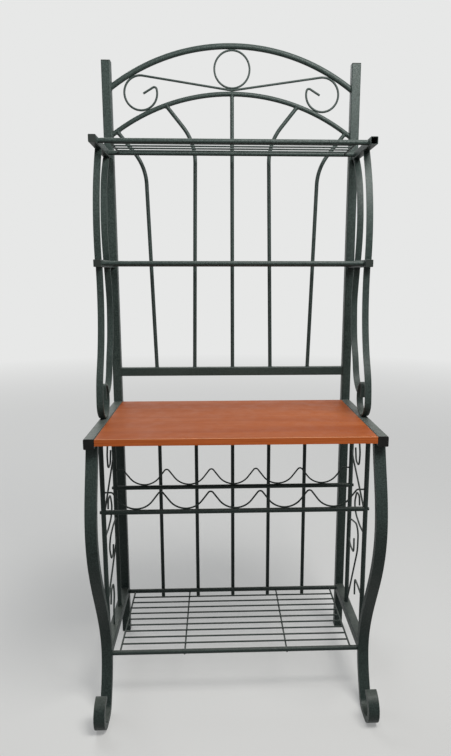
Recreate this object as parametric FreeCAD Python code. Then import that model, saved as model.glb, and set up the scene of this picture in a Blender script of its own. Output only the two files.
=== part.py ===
import FreeCAD, Part
import math
import os

# Bakers rack: an open steel rack with an arched back, two wire shelves on curved
# side strips, a wooden worktop, a wine rack and a wire bottom shelf.
# Millimetres. X runs across the rack, -Y is the front, Z is up.
# The origin is on the floor, at the middle of the rack's width and depth.

Vector = FreeCAD.Vector
X_AXIS = Vector(1, 0, 0)
Y_AXIS = Vector(0, 1, 0)
Z_AXIS = Vector(0, 0, 1)

# ---------------------------------------------------------------- overall sizes
rack_width = 730.0
rack_depth = 477.4              # toes of the front feet to the back of the posts
worktop_height = 777.2
second_shelf_rise = 422.1       # worktop to the top of the second shelf's rails
top_shelf_rise = 306.0          # second shelf to the top of the top shelf's rails
crown_rise = 294.0              # top shelf's rails to the top of the arch
post_drop = 50.8                # top of the arch down to the tops of the posts

# ---------------------------------------------------------------- tube and wire stock
post_size = 25.4
post_corner = 2.5
shelf_rail_size = 19.1
shelf_rail_corner = 2.0
tube_wall = 1.2
bar_diameter = 12.7
spindle_diameter = 11.2
top_arch_diameter = 15.5
lower_arch_diameter = 13.0
ring_wire_diameter = 5.5
arch_scroll_diameter = 6.0
shelf_wire_diameter = 4.5
end_wire_diameter = 5.0         # the wires that close the ends of a shelf's grid
side_scroll_diameter = 5.0
weld_gap = 0.05                 # left between a curved piece and what it is welded to

# ---------------------------------------------------------------- arched back
top_arch_radius = 579.7
lower_arch_radius = 574.6
arch_spacing = 125.5            # between the crowns of the two arches
back_rail_height = 25.4
back_rail_depth = 19.1
back_rail_clearance = 78.0      # worktop to the underside of the back rail
arch_scroll_x = 258.0           # middle of each scroll, which fills the gap between the arches
arch_scroll_turn = 291.0        # degrees round the scroll
arch_scroll_hook_radius = 7.0
arch_scroll_hook_turn = 108.0
arch_scroll_tail = 32.0
outer_spindle_foot_share = 0.3168  # shares are of the rack's width, from its middle
outer_spindle_bend_share = 0.3419
outer_spindle_bend_drop = 198.5  # crown of the lower arch down to the bend
outer_spindle_bend_radius = 143.0
inner_spindle_foot_share = 0.1586
inner_spindle_bend_share = 0.1451
inner_spindle_bend_drop = 131.5
inner_spindle_bend_radius = 150.0
spindle_splay = 39.4            # degrees from upright, above the bend

# ---------------------------------------------------------------- wire shelves
shelf_rail_reach = 213.0        # how far the rails stand out in front of the posts
shelf_front_bar_reach = 187.0
shelf_rear_bar_reach = 35.0
shelf_end_wire_x = 317.5
shelf_wire_count = 4

# ---------------------------------------------------------------- side strips
strip_width = 17.5
strip_thickness = 4.0
# Each pair is a strip's middle line: mm in front of the posts, and its share of the
# height between the two rails that the strip joins, from the lower one up.
upper_front_curve = [(194, 0.0), (198, 0.26), (188, 0.53), (173, 0.71), (149, 0.9), (134, 1.0)]
upper_rear_curve = [(79, 0.0), (91, 0.2), (93, 0.37), (85, 0.57), (72, 0.73), (61, 0.81), (20, 1.0)]
lower_front_curve = [(187, 1.0), (184, 0.85), (190, 0.65), (202, 0.515), (219, 0.395),
                     (241, 0.27), (248, 0.19)]
lower_rear_curve = [(76, 1.0), (64, 0.885), (56, 0.755), (60, 0.63), (72, 0.488), (96, 0.347),
                    (116, 0.225), (136, 0.175), (163, 0.145)]
strip_scroll_radius = 45.0
strip_scroll_reach = 206.0      # centre of the scroll, in front of the posts
strip_scroll_turn = 255.0       # degrees, from the front round under to the top
strip_hook_radius = 8.0
strip_hook_turn = 100.0
strip_tail = 32.0

# ---------------------------------------------------------------- worktop
worktop_rail_reach = 418.0      # front ends of the side rails, in front of the posts
board_thickness = 17.0
board_side_gap = 0.8
board_edge_radius = 1.5
tab_length = 38.0
tab_width = 22.0
tab_thickness = 3.0
front_tab_reach = 360.0
rear_tab_reach = 60.0
screw_diameter = 3.8
screw_length = 14.0
screw_head_diameter = 8.0
screw_head_height = 2.4
screw_hole_clearance = 0.2

# ---------------------------------------------------------------- end caps
cap_plate = 2.5
cap_plug_length = 12.0
cap_plug_gap = 0.15

# ---------------------------------------------------------------- front legs
leg_width = 28.0
leg_thickness = 15.0
leg_wall = 1.5
# Middle line of a leg: mm in front of the posts, and share of the height from the
# lower end of the curve up to the underside of the worktop rail.
leg_curve = [(387, 1.0), (402, 0.918), (423, 0.823), (436, 0.684), (418, 0.546), (376, 0.405),
             (328, 0.24), (316, 0.142), (324, 0.061), (343, -0.01)]
leg_curve_foot = 61.0           # height where the leg curve's share is 0
foot_heel_radius = 30.0
foot_toe_radius = 37.5
toe_turn = 165.0                # degrees that the toe curls up and back from the sole
toe_tip = 3.0                   # straight end of the toe

# ---------------------------------------------------------------- lower side frames
front_upright_reach = 281.0
rear_upright_reach = 100.0
lower_shelf_height = 155.0      # top of the lower shelf's side rails
# Side scrolls: share of the way from the rear upright to the front one, and share of
# the height between the lower shelf's rail and the worktop rail, with corner radius.
upper_scroll_paths = [
    [(0.46, 1.0, 0), (0.47, 0.93, 60), (0.56, 0.86, 30), (0.53, 0.79, 16), (0.33, 0.8, 14),
     (0.27, 0.86, 0)],
    [(0.0, 0.835, 0), (0.12, 0.795, 60), (0.55, 0.705, 80), (0.85, 0.64, 60), (1.0, 0.61, 0)],
    [(0.65, 0.61, 0), (0.62, 0.655, 12), (0.45, 0.655, 18), (0.33, 0.585, 30), (0.44, 0.54, 45),
     (0.7, 0.518, 60), (1.0, 0.512, 0)],
]
# The left-hand frame's lower scrolls are its upper ones turned half round.
right_lower_scroll_paths = [
    [(0.0, 0.45, 0), (0.166, 0.476, 60), (0.63, 0.508, 30), (0.63, 0.38, 90), (0.0, -0.02, 0)],
    [(0.0, 0.362, 0), (0.16, 0.335, 30), (0.385, 0.33, 12), (0.39, 0.37, 30), (0.38, 0.405, 0)],
    [(0.54, 0.134, 0), (0.53, 0.185, 30), (0.54, 0.216, 8), (0.74, 0.212, 60), (1.0, 0.2, 0)],
]

# ---------------------------------------------------------------- wine rack
wine_bar_share = 0.6384         # of the height from the lower shelf's rails to the worktop rails
wine_wave_pitch = 132.5
wine_wave_slope = 53.0          # degrees, of the straight flank between a dip and a peak
wine_dip_radius = 54.0
wine_peak_radius = 8.0
bolt_shank_diameter = 4.8
bolt_length = 34.0
bolt_head_diameter = 9.0
bolt_head_height = 3.0
bolt_clearance = 0.2
bolt_hole_spare = 1.0           # depth of the tapped hole past the bolt's end

# ---------------------------------------------------------------- bottom of the back
bottom_bar_spacing = 114.5
bottom_bar_foot = 117.0         # height of the lower ends of the bars
bottom_bar_count = 5

# ---------------------------------------------------------------- lower shelf
lower_front_bar_reach = 312.0
lower_bar_drop = 12.7           # side rails' tops down to the bars' axes
lower_wire_count = 9
lower_wire_pitch = 29.6
lower_end_wire_x = 317.5
lower_cross_x = 141.0

# ---------------------------------------------------------------- worked-out places
half_width = rack_width / 2
inner_x = half_width - post_size
post_x = half_width - post_size / 2
post_front_y = rack_depth / 2 - post_size
panel_y = rack_depth / 2 - post_size / 2
second_shelf_top = worktop_height + second_shelf_rise
top_shelf_top = second_shelf_top + top_shelf_rise
rack_height = top_shelf_top + crown_rise
post_top = rack_height - post_drop
worktop_underside = worktop_height - post_size
wine_bar_height = lower_shelf_height + wine_bar_share * (worktop_underside - lower_shelf_height)
shelf_rail_x = half_width - shelf_rail_size / 2
strip_x = -shelf_rail_x - strip_width / 2     # outer face of the left-hand strips
top_arch_centre_z = rack_height - top_arch_diameter / 2 - top_arch_radius
lower_crown_z = rack_height - top_arch_diameter / 2 - arch_spacing
lower_arch_centre_z = lower_crown_z - lower_arch_radius
back_rail_top = worktop_height + back_rail_clearance + back_rail_height
far = 3 * rack_height           # larger than the rack, for trimming blocks
longest_setback = 0.48          # share of a straight run that a rounded corner may take


def forward(reach):
    """Y of a point that lies this far in front of the posts' front faces."""
    return post_front_y - reach


def panel_point(x, z):
    """Point on the middle plane of the arched back."""
    return Vector(x, panel_y, z)


def block(x_low, x_high, y_low, y_high, z_low, z_high):
    corner = Vector(x_low, y_low, z_low)
    return Part.makeBox(x_high - x_low, y_high - y_low, z_high - z_low, corner)


def mirrored(shape):
    return shape.mirror(Vector(0, 0, 0), X_AXIS)


def save(name, shape):
    shape.exportStep("parts/" + name + ".step")


def save_pair(name, left_shape):
    """A left-hand piece and its mirror image on the right."""
    save(name + "_left", left_shape)
    save(name + "_right", mirrored(left_shape))


def group(shapes):
    return Part.makeCompound(shapes)


# ---------------------------------------------------------------- stock shapes
def rounded_rectangle(centre, along_u, along_v, size_u, size_v, corner):
    """Face with rounded corners, in the plane of along_u and along_v."""
    inset = corner * (1 - math.sqrt(0.5))
    half_u = size_u / 2
    half_v = size_v / 2
    edges = []
    last_end = None
    first_start = None
    for sign_u, sign_v in ((1, 1), (-1, 1), (-1, -1), (1, -1)):
        on_side = centre + along_u * (sign_u * half_u) + along_v * (sign_v * (half_v - corner))
        on_end = centre + along_u * (sign_u * (half_u - corner)) + along_v * (sign_v * half_v)
        middle = centre + along_u * (sign_u * (half_u - inset)) + along_v * (sign_v * (half_v - inset))
        start, end = (on_side, on_end) if sign_u * sign_v > 0 else (on_end, on_side)
        if last_end is None:
            first_start = start
        else:
            edges.append(Part.LineSegment(last_end, start).toShape())
        edges.append(Part.Arc(start, middle, end).toShape())
        last_end = end
    edges.append(Part.LineSegment(last_end, first_start).toShape())
    return Part.Face(Part.Wire(edges))


def box_tube(start, end, size_u, size_v, corner, wall, along_u):
    """Rectangular tube with rounded corners; along_u is the direction of size_u."""
    run = end - start
    along_v = run.cross(along_u).normalize()
    outer = rounded_rectangle(start, along_u, along_v, size_u, size_v, corner)
    inner_corner = max(corner - wall, corner / 4)
    inner = rounded_rectangle(start, along_u, along_v, size_u - 2 * wall, size_v - 2 * wall, inner_corner)
    return outer.extrude(run).cut(inner.extrude(run))


def round_rod(start, end, diameter):
    run = end - start
    return Part.makeCylinder(diameter / 2, run.Length, start, run)


def round_tube(start, end, diameter, wall):
    return round_rod(start, end, diameter).cut(round_rod(start, end, diameter - 2 * wall))


def end_cap(face_centre, outward, size, corner):
    """Plastic cap: a plate over a square tube's end and a plug inside it."""
    across = Z_AXIS if abs(outward.z) < 0.5 else X_AXIS
    other = outward.cross(across)
    plate = rounded_rectangle(face_centre, across, other, size, size, corner).extrude(outward * cap_plate)
    plug_size = size - 2 * tube_wall - 2 * cap_plug_gap
    plug_face = rounded_rectangle(face_centre, across, other, plug_size, plug_size, corner / 2)
    return plate.fuse(plug_face.extrude(outward * -cap_plug_length)).removeSplitter()


# ---------------------------------------------------------------- bent wire and tube
def turned(vector, axis, degrees):
    return FreeCAD.Rotation(axis, degrees).multVec(vector)


def arc_from(start, heading, axis, radius, degrees):
    """Arc that leaves start along heading and turns about axis; also its end and new heading."""
    side = 1 if degrees > 0 else -1
    centre = start + axis.cross(heading) * (side * radius)
    spoke = start - centre
    middle = centre + turned(spoke, axis, degrees / 2)
    end = centre + turned(spoke, axis, degrees)
    return Part.Arc(start, middle, end).toShape(), end, turned(heading, axis, degrees)


def rounded_path(points, radii):
    """Edges through the points as straight runs, with an arc of the given radius at each corner."""
    edges = []
    last = points[0]
    for index in range(1, len(points) - 1):
        corner = points[index]
        back = (points[index - 1] - corner).normalize()
        ahead = (points[index + 1] - corner).normalize()
        half_angle = back.getAngle(ahead) / 2
        shorter = min((points[index - 1] - corner).Length, (points[index + 1] - corner).Length)
        setback = min(radii[index] / math.tan(half_angle), longest_setback * shorter)
        radius = setback * math.tan(half_angle)
        bisector = (back + ahead).normalize()
        middle = corner + bisector * (radius / math.sin(half_angle) - radius)
        start = corner + back * setback
        end = corner + ahead * setback
        edges.append(Part.LineSegment(last, start).toShape())
        edges.append(Part.Arc(start, middle, end).toShape())
        last = end
    edges.append(Part.LineSegment(last, points[-1]).toShape())
    return edges


def bent_rod(edges, diameter):
    """Round rod along joined lines and arcs."""
    first = edges[0]
    start = first.valueAt(first.FirstParameter)
    heading = first.tangentAt(first.FirstParameter)
    section = Part.Wire([Part.Circle(start, heading, diameter / 2).toShape()])
    return Part.Wire(edges).makePipeShell([section], True, False)


def arch_solid(centre_z, radius, diameter):
    """Round bar bent to an arc that fills the width between the posts."""
    end_angle = math.degrees(math.asin((inner_x + diameter) / radius))
    start = panel_point(-radius * math.sin(math.radians(end_angle)),
                        centre_z + radius * math.cos(math.radians(end_angle)))
    heading = turned(X_AXIS, Y_AXIS, -end_angle)
    arc, _, _ = arc_from(start, heading, Y_AXIS, radius, 2 * end_angle)
    between_posts = block(-inner_x, inner_x, -far, far, 0, far)
    return bent_rod([arc], diameter).common(between_posts)


# ---------------------------------------------------------------- flat strips
def strip_run(points, thickness, x_low, width):
    """Flat bar whose middle line is a smooth curve through (y, z) points, extruded along X."""
    curve = Part.BSplineCurve()
    curve.interpolate([Vector(x_low, y, z) for y, z in points])
    sides = {}
    for side in (1, -1):
        offset_points = []
        for y, z in points:
            at = curve.parameter(Vector(x_low, y, z))
            tangent = curve.tangent(at)[0]
            normal = X_AXIS.cross(tangent)
            offset_points.append(Vector(x_low, y, z) + normal * (side * thickness / 2))
        side_curve = Part.BSplineCurve()
        side_curve.interpolate(offset_points)
        sides[side] = (side_curve.toShape(), offset_points)
    near, near_points = sides[1]
    away, away_points = sides[-1]
    top = Part.LineSegment(near_points[0], away_points[0]).toShape()
    bottom = Part.LineSegment(near_points[-1], away_points[-1]).toShape()
    face = Part.Face(Part.Wire(Part.__sortEdges__([near, top, away, bottom])))
    end_heading = curve.tangent(curve.LastParameter)[0]
    return face.extrude(X_AXIS * width), end_heading


def strip_arc(start, heading, radius, degrees, thickness, x_low, width):
    """Part of a ring that carries on from start along heading, turning about X."""
    arc, end, new_heading = arc_from(start, heading, X_AXIS, radius, degrees)
    centre = start + X_AXIS.cross(heading) * (radius if degrees > 0 else -radius)
    edges = []
    for shift in (thickness / 2, -thickness / 2):
        ends = []
        for share in (0, 0.5, 1):
            spoke = turned(start - centre, X_AXIS, degrees * share)
            ends.append(centre + spoke * ((radius + shift) / radius))
        edges.append(Part.Arc(ends[0], ends[1], ends[2]).toShape())
    outer, inner = edges
    first = Part.LineSegment(outer.firstVertex().Point, inner.firstVertex().Point).toShape()
    last = Part.LineSegment(outer.lastVertex().Point, inner.lastVertex().Point).toShape()
    face = Part.Face(Part.Wire(Part.__sortEdges__([outer, first, inner, last])))
    return face.extrude(X_AXIS * width), end, new_heading


def strip_line(start, heading, length, thickness, x_low, width, round_end):
    """Straight flat piece that carries on from start; its end may be rounded."""
    normal = X_AXIS.cross(heading)
    end = start + heading * length
    near = [start + normal * (thickness / 2), end + normal * (thickness / 2)]
    away = [start - normal * (thickness / 2), end - normal * (thickness / 2)]
    edges = [Part.LineSegment(away[0], near[0]).toShape()]
    edges.append(Part.LineSegment(near[0], near[1]).toShape())
    if round_end:
        edges.append(Part.Arc(near[1], end + heading * (thickness / 2), away[1]).toShape())
    else:
        edges.append(Part.LineSegment(near[1], away[1]).toShape())
    edges.append(Part.LineSegment(away[1], away[0]).toShape())
    face = Part.Face(Part.Wire(edges))
    return face.extrude(X_AXIS * width), end


def joined(pieces):
    solid = pieces[0].multiFuse(pieces[1:]).removeSplitter()
    return solid.Solids[0]


def strip_points(curve, low_z, high_z):
    """(y, z) points of a strip, from its list of reaches and height shares."""
    return [(forward(reach), low_z + share * (high_z - low_z)) for reach, share in curve]


def upper_strip(curve):
    """Strip between the second shelf's rail and the top shelf's rail."""
    low_z = second_shelf_top
    high_z = top_shelf_top - shelf_rail_size
    overrun = 2 * strip_thickness
    points = strip_points(curve, low_z, high_z)
    points = [(points[0][0], low_z - overrun)] + points[1:-1] + [points[-1]]
    y_end, z_end = points[-1]
    y_before, z_before = points[-2]
    slope = (y_end - y_before) / (z_end - z_before)
    points[-1] = (y_end + slope * overrun, z_end + overrun)
    solid, _ = strip_run(points, strip_thickness, strip_x, strip_width)
    return solid.common(block(-far, 0, -far, far, low_z, high_z))


def lower_front_strip():
    """Strip from the second shelf's rail down to the scroll that stands on the worktop rail."""
    high_z = second_shelf_top - shelf_rail_size
    centre_z = worktop_height + strip_scroll_radius + strip_thickness / 2 + weld_gap
    points = strip_points(lower_front_curve, worktop_height, high_z)
    scroll_start = (forward(strip_scroll_reach + strip_scroll_radius), centre_z)
    points = [(points[0][0], high_z + 2 * strip_thickness)] + points[1:] + [scroll_start]
    run, _ = strip_run(points, strip_thickness, strip_x, strip_width)
    run = run.common(block(-far, 0, -far, far, centre_z, high_z))
    start = Vector(strip_x, scroll_start[0], scroll_start[1])
    scroll, end, heading = strip_arc(start, -Z_AXIS, strip_scroll_radius, strip_scroll_turn,
                                     strip_thickness, strip_x, strip_width)
    hook, end, heading = strip_arc(end, heading, strip_hook_radius, strip_hook_turn,
                                   strip_thickness, strip_x, strip_width)
    tail, _ = strip_line(end, heading, strip_tail, strip_thickness, strip_x, strip_width, False)
    return joined([run, scroll, hook, tail])


def lower_rear_strip():
    """Strip from the second shelf's rail down to the back of the front strip's scroll."""
    high_z = second_shelf_top - shelf_rail_size
    points = strip_points(lower_rear_curve, worktop_height, high_z)
    points[0] = (points[0][0], high_z + 2 * strip_thickness)
    run, _ = strip_run(points, strip_thickness, strip_x, strip_width)
    centre_z = worktop_height + strip_scroll_radius + strip_thickness / 2 + weld_gap
    reach = strip_scroll_radius + strip_thickness / 2 + weld_gap
    scroll_room = Part.makeCylinder(reach, far, Vector(-far, forward(strip_scroll_reach), centre_z), X_AXIS)
    trimmed = run.common(block(-far, 0, -far, far, 0, high_z)).cut(scroll_room)
    return max(trimmed.Solids, key=lambda solid: solid.Volume)


# ---------------------------------------------------------------- arched back panel
def post():
    bottom = Vector(-post_x, panel_y, worktop_height)
    top = Vector(-post_x, panel_y, post_top - cap_plate)
    return box_tube(bottom, top, post_size, post_size, post_corner, tube_wall, X_AXIS)


def post_cap():
    return end_cap(Vector(-post_x, panel_y, post_top - cap_plate), Z_AXIS, post_size, post_corner)


def back_rail(top_z):
    """Rectangular rail between the posts, level with the back panel."""
    centre_z = top_z - back_rail_height / 2
    ends = [panel_point(-inner_x, centre_z), panel_point(inner_x, centre_z)]
    return box_tube(ends[0], ends[1], back_rail_height, back_rail_depth, post_corner, tube_wall, Z_AXIS)


def arch_ring(wire_diameter):
    """Ring that stands on the two scrolls' wires and touches the top arch."""
    bottom = lower_crown_z + lower_arch_diameter / 2 + arch_scroll_diameter + 2 * weld_gap
    top = rack_height - top_arch_diameter - weld_gap
    radius = (top - bottom - ring_wire_diameter) / 2
    return Part.makeTorus(radius, wire_diameter / 2, panel_point(0, (top + bottom) / 2), Y_AXIS)


def arch_scroll():
    """Left-hand scroll: a straight wire from the middle, a round curl between the arches, a hooked end."""
    # A circle of radius reach round the scroll's middle touches both arches.
    ceiling = top_arch_radius - top_arch_diameter / 2
    floor = lower_arch_radius + lower_arch_diameter / 2
    offset = top_arch_centre_z - lower_arch_centre_z
    slope = (ceiling + floor) / offset
    base = (floor ** 2 - ceiling ** 2 - offset ** 2) / (2 * offset)
    square = slope ** 2 - 1
    linear = base * slope + ceiling
    constant = arch_scroll_x ** 2 + base ** 2 - ceiling ** 2
    reach = (math.sqrt(linear ** 2 - square * constant) - linear) / square
    centre = panel_point(-arch_scroll_x, top_arch_centre_z + base + slope * reach)
    radius = reach - arch_scroll_diameter / 2 - weld_gap
    start = panel_point(0, lower_crown_z + (lower_arch_diameter + arch_scroll_diameter) / 2 + weld_gap)
    away = centre - start
    run_length = math.sqrt(away.Length ** 2 - radius ** 2)
    slant = math.degrees(math.atan2(radius, run_length))
    heading = turned(away.normalize(), Y_AXIS, slant)
    curl_start = start + heading * run_length
    curl, hook_start, curl_heading = arc_from(curl_start, heading, Y_AXIS, radius, -arch_scroll_turn)
    hook, tail_start, tail_heading = arc_from(hook_start, curl_heading, Y_AXIS, arch_scroll_hook_radius,
                                              -arch_scroll_hook_turn)
    run = Part.LineSegment(start - heading * arch_scroll_diameter, curl_start).toShape()
    tail = Part.LineSegment(tail_start, tail_start + tail_heading * arch_scroll_tail).toShape()
    wire = bent_rod([run, curl, hook, tail], arch_scroll_diameter).common(block(-far, 0, -far, far, 0, far))
    return wire.cut(arch_ring(ring_wire_diameter + 2 * weld_gap)).Solids[0]


def spindle_below_arch(rod):
    """The part of a spindle between the back rail and the lower arch."""
    arch_room = arch_solid(lower_arch_centre_z, lower_arch_radius, lower_arch_diameter + 2 * weld_gap)
    above_rail = block(-inner_x, inner_x, -far, far, back_rail_top, far)
    return min(rod.common(above_rail).cut(arch_room).Solids, key=lambda solid: solid.BoundBox.ZMin)


def bent_spindle(foot_share, bend_share, bend_drop, bend_radius):
    """Left-hand spindle: a nearly upright run, then a bend outwards to the lower arch."""
    bend = panel_point(-bend_share * rack_width, lower_crown_z - bend_drop)
    foot = panel_point(-foot_share * rack_width, back_rail_top)
    below_foot = foot + (foot - bend).normalize() * spindle_diameter
    outward = turned(Z_AXIS, Y_AXIS, -spindle_splay)
    from_centre = bend - panel_point(0, lower_arch_centre_z)
    middle = from_centre.dot(outward)
    length = -middle + math.sqrt(middle ** 2 - from_centre.Length ** 2 + lower_arch_radius ** 2)
    edges = rounded_path([below_foot, bend, bend + outward * length], [0, bend_radius, 0])
    return spindle_below_arch(bent_rod(edges, spindle_diameter))


def back_panel():
    save_pair("upper_post", post())
    save("top_arch", arch_solid(top_arch_centre_z, top_arch_radius, top_arch_diameter))
    save("lower_arch", arch_solid(lower_arch_centre_z, lower_arch_radius, lower_arch_diameter))
    save("arch_ring", arch_ring(ring_wire_diameter))
    save_pair("arch_scroll", arch_scroll())
    save("upper_back_rail", back_rail(back_rail_top))
    centre = round_rod(panel_point(0, back_rail_top), panel_point(0, lower_crown_z), spindle_diameter)
    save("back_spindle_centre", spindle_below_arch(centre))
    save_pair("back_spindle_inner", bent_spindle(inner_spindle_foot_share, inner_spindle_bend_share,
                                                 inner_spindle_bend_drop, inner_spindle_bend_radius))
    save_pair("back_spindle_outer", bent_spindle(outer_spindle_foot_share, outer_spindle_bend_share,
                                                 outer_spindle_bend_drop, outer_spindle_bend_radius))


# ---------------------------------------------------------------- wire shelves
def shelf_rail(rail_top, plate):
    """Left-hand side rail; plate is the thickness of the cap on its front end."""
    z = rail_top - shelf_rail_size / 2
    front = Vector(-shelf_rail_x, forward(shelf_rail_reach) + plate, z)
    back = Vector(-shelf_rail_x, post_front_y, z)
    return box_tube(front, back, shelf_rail_size, shelf_rail_size, shelf_rail_corner, tube_wall, X_AXIS)


def shelf_cap(rail_top):
    z = rail_top - shelf_rail_size / 2
    face = Vector(-shelf_rail_x, forward(shelf_rail_reach) + cap_plate, z)
    return end_cap(face, -Y_AXIS, shelf_rail_size, shelf_rail_corner)


def crosswise(length, reach, z, diameter, wall):
    """Bar across the rack, middle at X 0; wall 0 makes it solid."""
    ends = [Vector(-length / 2, forward(reach), z), Vector(length / 2, forward(reach), z)]
    if wall:
        return round_tube(ends[0], ends[1], diameter, wall)
    return round_rod(ends[0], ends[1], diameter)


def end_bars(x, front_reach, rear_reach, z):
    """The two thin bars that close a shelf's grid, from its front bar to its rear bar."""
    room_diameter = bar_diameter + 2 * weld_gap
    room = crosswise(2 * half_width, front_reach, z, room_diameter, 0)
    room = room.fuse(crosswise(2 * half_width, rear_reach, z, room_diameter, 0))
    bars = []
    for side in (-1, 1):
        bar = round_rod(Vector(side * x, forward(front_reach), z), Vector(side * x, forward(rear_reach), z),
                        end_wire_diameter)
        bars.append(max(bar.cut(room).Solids, key=lambda solid: solid.Volume))
    return group(bars)


def shelf_wire(end_x, reach, z):
    """Wire between a grid's two end bars."""
    wire = crosswise(2 * end_x, reach, z, shelf_wire_diameter, 0)
    for side in (-1, 1):
        room = round_rod(Vector(side * end_x, -far, z), Vector(side * end_x, far, z),
                         end_wire_diameter + 2 * weld_gap)
        wire = wire.cut(room)
    return max(wire.Solids, key=lambda solid: solid.Volume)


def wire_shelf(name, rail_top, right_cap):
    z = rail_top - shelf_rail_size / 2
    span = 2 * (half_width - shelf_rail_size)
    save(name + "_rail_left", shelf_rail(rail_top, cap_plate))
    save(name + "_rail_right", mirrored(shelf_rail(rail_top, cap_plate if right_cap else 0)))
    save(name + "_front_bar", crosswise(span, shelf_front_bar_reach, z, bar_diameter, tube_wall))
    save(name + "_rear_bar", crosswise(span, shelf_rear_bar_reach, z, bar_diameter, tube_wall))
    save(name + "_end_bars", end_bars(shelf_end_wire_x, shelf_front_bar_reach, shelf_rear_bar_reach, z))
    pitch = (shelf_front_bar_reach - shelf_rear_bar_reach) / (shelf_wire_count + 1)
    wires = []
    for index in range(shelf_wire_count):
        wires.append(shelf_wire(shelf_end_wire_x, shelf_rear_bar_reach + pitch * (index + 1), z))
    save(name + "_wires", group(wires))


def side_strips():
    save_pair("upper_front_strip", upper_strip(upper_front_curve))
    save_pair("upper_rear_strip", upper_strip(upper_rear_curve))
    save_pair("lower_front_strip", lower_front_strip())
    save_pair("lower_rear_strip", lower_rear_strip())


# ---------------------------------------------------------------- worktop
def worktop_rail():
    z = worktop_height - post_size / 2
    front = Vector(-post_x, forward(worktop_rail_reach) + cap_plate, z)
    back = Vector(-post_x, post_front_y + post_size, z)
    return box_tube(front, back, post_size, post_size, post_corner, tube_wall, X_AXIS)


def worktop_cap():
    face = Vector(-post_x, forward(worktop_rail_reach) + cap_plate, worktop_height - post_size / 2)
    return end_cap(face, -Y_AXIS, post_size, post_corner)


def tab_places():
    """Screw axes of the four tabs, as (side, y)."""
    places = []
    for side in (-1, 1):
        for reach in (front_tab_reach, rear_tab_reach):
            places.append((side, forward(reach)))
    return places


def tab_screw_x(side):
    return side * (inner_x - tab_width / 2)


def worktop_parts():
    underside = worktop_height - board_thickness
    half_board = inner_x - board_side_gap
    front_y = forward(worktop_rail_reach)
    board = block(-half_board, half_board, front_y, post_front_y, underside, worktop_height)
    upper_edges = [edge for edge in board.Edges if edge.BoundBox.ZMin > worktop_height - board_edge_radius]
    board = board.makeFillet(board_edge_radius, upper_edges)
    tabs = []
    screws = []
    tab_bottom = underside - tab_thickness
    for side, y in tab_places():
        x = tab_screw_x(side)
        wall_x = side * inner_x
        free_x = side * (inner_x - tab_width)
        tab = block(min(wall_x, free_x), max(wall_x, free_x), y - tab_length / 2, y + tab_length / 2,
                    tab_bottom, underside)
        hole_radius = screw_diameter / 2 + screw_hole_clearance
        hole = Part.makeCylinder(hole_radius, screw_length + tab_thickness, Vector(x, y, tab_bottom))
        tabs.append(tab.cut(hole))
        board = board.cut(hole)
        head = Part.makeCylinder(screw_head_diameter / 2, screw_head_height,
                                 Vector(x, y, tab_bottom - screw_head_height))
        shank = Part.makeCylinder(screw_diameter / 2, screw_length, Vector(x, y, tab_bottom))
        screws.append(head.fuse(shank).removeSplitter())
    save("worktop_board", board)
    save("worktop_tabs", group(tabs))
    save("worktop_screws", group(screws))
    save_pair("worktop_rail", worktop_rail())


def tube_caps():
    caps = [post_cap(), mirrored(post_cap())]
    caps += [worktop_cap(), mirrored(worktop_cap())]
    caps += [shelf_cap(top_shelf_top), shelf_cap(second_shelf_top), mirrored(shelf_cap(second_shelf_top))]
    save("tube_end_caps", group(caps))


# ---------------------------------------------------------------- legs
def leg_ribbon(thickness, x_low, width, overrun):
    """Curved front leg with its curled foot, as a solid of the given section."""
    points = strip_points(leg_curve, leg_curve_foot, worktop_underside)
    y_top, z_top = points[0]
    y_next, z_next = points[1]
    slope = (y_top - y_next) / (z_top - z_next)
    points[0] = (y_top + slope * overrun, z_top + overrun)
    run, heading = strip_run(points, thickness, x_low, width)
    run = run.common(block(-far, far, -far, far, 0, worktop_underside + overrun / 2))
    end = Vector(x_low, points[-1][0], points[-1][1])
    toe_front_y = -rack_depth / 2
    floor_line = leg_thickness / 2
    bend = 90 - math.degrees(math.atan2(-heading.y, -heading.z))
    drop = foot_heel_radius * (1 - math.cos(math.radians(bend)))
    straight = (end.z - floor_line - drop) / -heading.z
    shank, end = strip_line(end, heading, straight, thickness, x_low, width, False)
    heel, end, heading = strip_arc(end, heading, foot_heel_radius, -bend, thickness, x_low, width)
    toe_start_y = toe_front_y + leg_thickness / 2 + foot_toe_radius
    sole, end = strip_line(end, heading, end.y - toe_start_y, thickness, x_low, width, False)
    toe, end, heading = strip_arc(end, heading, foot_toe_radius, -toe_turn, thickness, x_low, width)
    tip, _ = strip_line(end, heading, toe_tip, thickness, x_low, width, True)
    return joined([run, shank, heel, sole, toe, tip])


def front_leg():
    outer = leg_ribbon(leg_thickness, -half_width, leg_width, post_size)
    outer = outer.common(block(-far, far, -far, far, 0, worktop_underside))
    inner = leg_ribbon(leg_thickness - 2 * leg_wall, -half_width + leg_wall, leg_width - 2 * leg_wall,
                       post_size)
    return outer.cut(inner).Solids[0]


def rear_leg():
    bottom = Vector(-post_x, panel_y, 0)
    top = Vector(-post_x, panel_y, worktop_underside)
    return box_tube(bottom, top, post_size, post_size, post_corner, tube_wall, X_AXIS)


# ---------------------------------------------------------------- lower side frames
def upright(reach):
    low = Vector(-post_x, forward(reach), lower_shelf_height)
    high = Vector(-post_x, forward(reach), worktop_underside)
    tube = round_tube(low, high, bar_diameter, tube_wall)
    hole_start = Vector(-half_width, forward(reach), wine_bar_height)
    hole = round_rod(hole_start, hole_start + X_AXIS * post_size, bolt_shank_diameter + 2 * bolt_clearance)
    return tube.cut(hole)


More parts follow.
